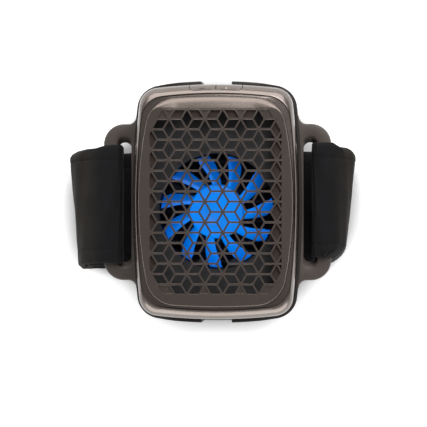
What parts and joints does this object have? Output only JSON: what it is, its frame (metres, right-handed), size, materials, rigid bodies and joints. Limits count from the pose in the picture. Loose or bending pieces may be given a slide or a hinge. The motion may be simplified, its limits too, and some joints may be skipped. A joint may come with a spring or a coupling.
{
  "type": "hot cold therapy machine",
  "caption": "Hand-sized hot and cold therapy unit with a lattice grille over a lit fan, two buttons, and a strap cradle it lifts out of.",
  "frame": {"origin": "on the floor under the middle of the unit, on the underside of the strap", "axes": "+Z out of the front grille, +Y towards the buttons, +X to the right seen from the front"},
  "size_m": [0.1222, 0.1008, 0.0514],
  "materials": {
    "cradle_plastic": "satin",
    "strap_fabric": "woven",
    "hook_tab": "hooked",
    "contact_plate": "satin",
    "soft_seal": "matte",
    "bronze_plastic": "satin",
    "thermal_pad": "matte",
    "module_ceramic": "matte",
    "heat_sink": "black anodised",
    "screw_steel": "satin",
    "fan_black": "satin",
    "stator_steel": "satin",
    "bearing_brass": "satin",
    "lit_blue": "lit from within",
    "lamp_ring": "satin",
    "baffle_grey": "matte",
    "circuit_board": "satin",
    "battery_wrap": "satin",
    "port_steel": "satin",
    "lead_cover": "satin",
    "button_plastic": "satin"
  },
  "bodies": {
    "cradle": {"holder_frame": "cradle_plastic", "strap_band": "strap_fabric", "strap_hook_tab": "hook_tab"},
    "unit": {"contact_plate": "contact_plate", "plate_gasket": "soft_seal", "rear_housing": "bronze_plastic", "front_housing": "bronze_plastic", "front_cover": "bronze_plastic", "thermal_pad_lower": "thermal_pad", "thermoelectric_module": "module_ceramic", "thermal_pad_upper": "thermal_pad", "insulation_foam": "soft_seal", "heat_sink": "heat_sink", "heat_sink_screws": "screw_steel", "fan_frame": "fan_black", "fan_stator": "stator_steel", "fan_bearing": "bearing_brass", "fan_screws": "screw_steel", "led_ring": "lamp_ring", "fan_shroud": "baffle_grey", "main_board": "circuit_board", "tact_switches": "fan_black", "battery_pack": "battery_wrap", "battery_tray": "fan_black", "charge_board": "circuit_board", "usb_c_port": "port_steel", "temperature_sensor": "module_ceramic", "housing_screws": "screw_steel", "module_leads": "lead_cover", "fan_lead": "lead_cover", "battery_lead": "lead_cover"},
    "rotor": {"fan_rotor": "lit_blue", "fan_shaft": "screw_steel"},
    "button_left": {"button_left": "button_plastic"},
    "button_right": {"button_right": "button_plastic"}
  },
  "joints": [
    {"name": "unit_lift", "type": "slide", "parent": "cradle", "child": "unit", "axis": [0, 0, 1], "range_m": [0, 0.045]},
    {"name": "fan_spin", "type": "hinge", "parent": "unit", "child": "rotor", "pos_m": [0.0003, -0.0039, 0.036], "axis": [0, 0, 1], "continuous": true},
    {"name": "button_left_press", "type": "slide", "parent": "unit", "child": "button_left", "axis": [0, -1, 0], "range_m": [0, 0.0006], "stiffness_N_per_m": 800, "springref_m": -0.0003},
    {"name": "button_right_press", "type": "slide", "parent": "unit", "child": "button_right", "axis": [0, -1, 0], "range_m": [0, 0.0006], "stiffness_N_per_m": 800, "springref_m": -0.0003}
  ]
}
